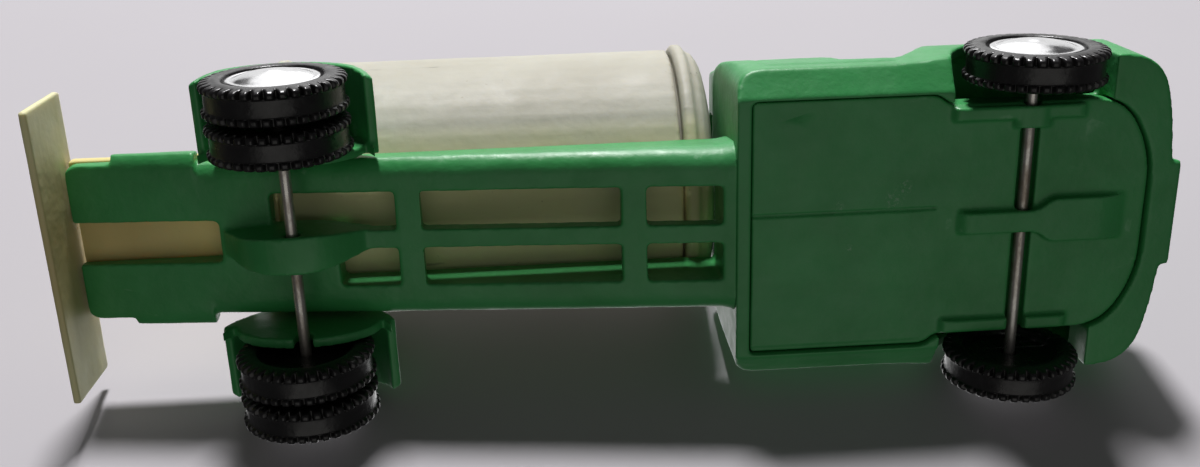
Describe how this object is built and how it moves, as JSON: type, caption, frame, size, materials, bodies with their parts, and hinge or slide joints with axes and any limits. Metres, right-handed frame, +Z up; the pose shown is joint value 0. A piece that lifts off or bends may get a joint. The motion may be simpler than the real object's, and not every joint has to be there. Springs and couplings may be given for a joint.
{
  "type": "toy tanker truck",
  "caption": "Small plastic toy tanker truck with a bonneted cab, ladder frame, cylindrical tank, rear mudguards and rolling wheels on steel axles.",
  "frame": {"origin": "on the ground under the middle of the truck's length and width, with the truck standing on its wheels", "axes": "+X forward from the rear panel to the cab's nose, +Y to the truck's left, +Z up"},
  "size_m": [0.148, 0.048, 0.0569],
  "materials": {
    "green_plastic": "waxy satin",
    "cream_plastic": "satin, slightly yellowed",
    "white_plastic": "satin",
    "black_plastic": "glossy",
    "silver_plating": "bright, slightly worn",
    "axle_steel": "dull with slight rust"
  },
  "bodies": {
    "truck_body": {"cab_body": "green_plastic", "cab_floor": "green_plastic", "chassis_frame": "green_plastic", "mudguard_left": "green_plastic", "mudguard_right": "green_plastic", "tank_shell": "cream_plastic", "tank_cap_front": "cream_plastic", "tank_cap_rear": "cream_plastic", "tank_deck": "cream_plastic", "rear_panel": "white_plastic"},
    "front_wheels": {"front_axle": "axle_steel", "front_tyre_left": "black_plastic", "front_tyre_right": "black_plastic", "front_hubcap_left": "silver_plating", "front_hubcap_right": "silver_plating"},
    "rear_wheels": {"rear_axle": "axle_steel", "rear_outer_tyre_left": "black_plastic", "rear_outer_tyre_right": "black_plastic", "rear_inner_tyre_left": "black_plastic", "rear_inner_tyre_right": "black_plastic", "rear_hubcap_left": "silver_plating", "rear_hubcap_right": "silver_plating"}
  },
  "joints": [
    {"name": "front_roll", "type": "hinge", "parent": "truck_body", "child": "front_wheels", "pos_m": [0.0533, 0, 0.009], "axis": [0, 1, 0], "continuous": true},
    {"name": "rear_roll", "type": "hinge", "parent": "truck_body", "child": "rear_wheels", "pos_m": [-0.0427, 0, 0.009], "axis": [0, 1, 0], "continuous": true}
  ]
}
